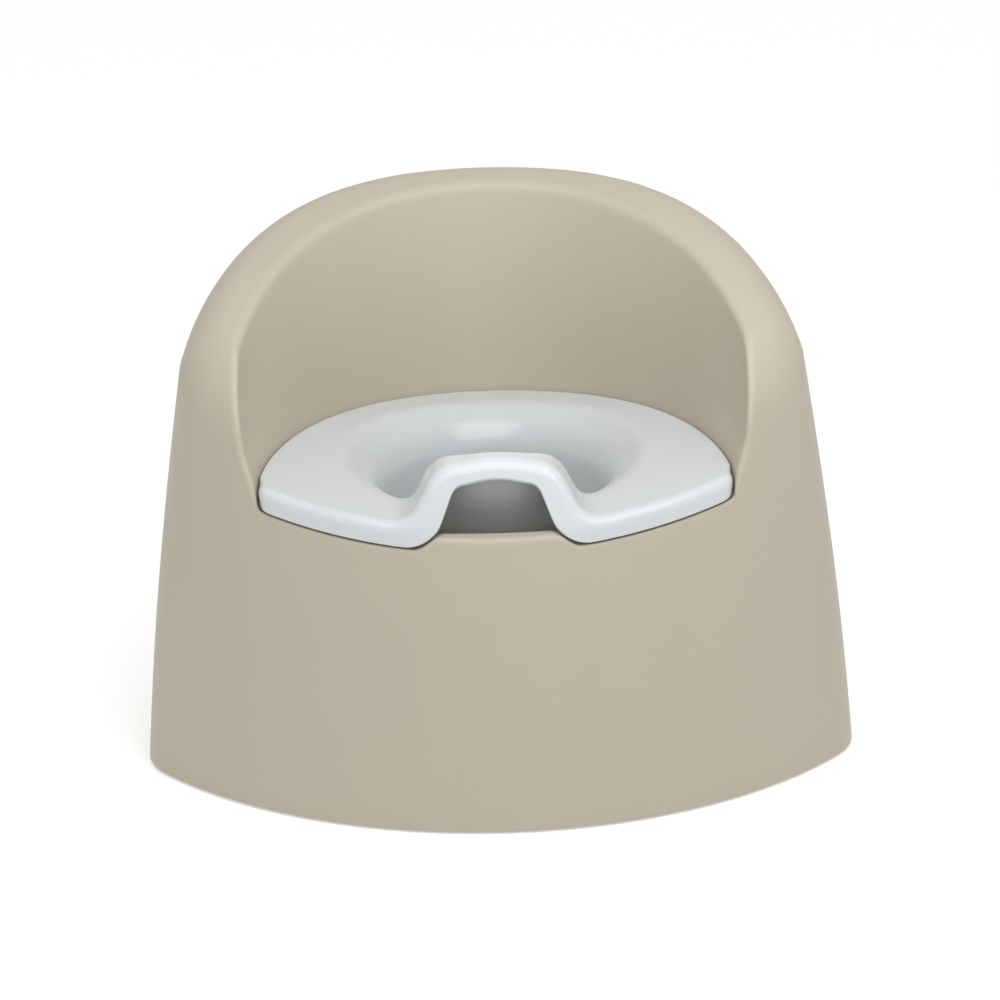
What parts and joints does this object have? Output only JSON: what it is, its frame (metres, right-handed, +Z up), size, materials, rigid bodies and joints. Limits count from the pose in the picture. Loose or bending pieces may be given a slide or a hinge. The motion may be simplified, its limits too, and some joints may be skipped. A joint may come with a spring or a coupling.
{
  "type": "potty training chair",
  "caption": "Tub-shaped potty chair with a high back, sloping arms and a lift-out pot with a raised front guard.",
  "frame": {"origin": "centre of the footprint on the floor", "axes": "+X to the chair's left arm seen from the front, so to the right of the picture; -Y to the front; +Z up"},
  "size_m": [0.3536, 0.3099, 0.2612],
  "materials": {
    "tub_plastic": "fine satin moulded plastic, warm beige",
    "pot_plastic": "glossy white moulded plastic",
    "foot_rubber": "soft matt anti-slip rubber"
  },
  "bodies": {
    "chair": {"chair_shell": "tub_plastic", "foot_front_left": "foot_rubber", "foot_front_right": "foot_rubber", "foot_back_left": "foot_rubber", "foot_back_right": "foot_rubber"},
    "pot": {"inner_pot": "pot_plastic"}
  },
  "joints": [
    {"name": "pot_lift", "type": "slide", "parent": "chair", "child": "pot", "axis": [0, 0, 1], "range_m": [0, 0.23]}
  ]
}
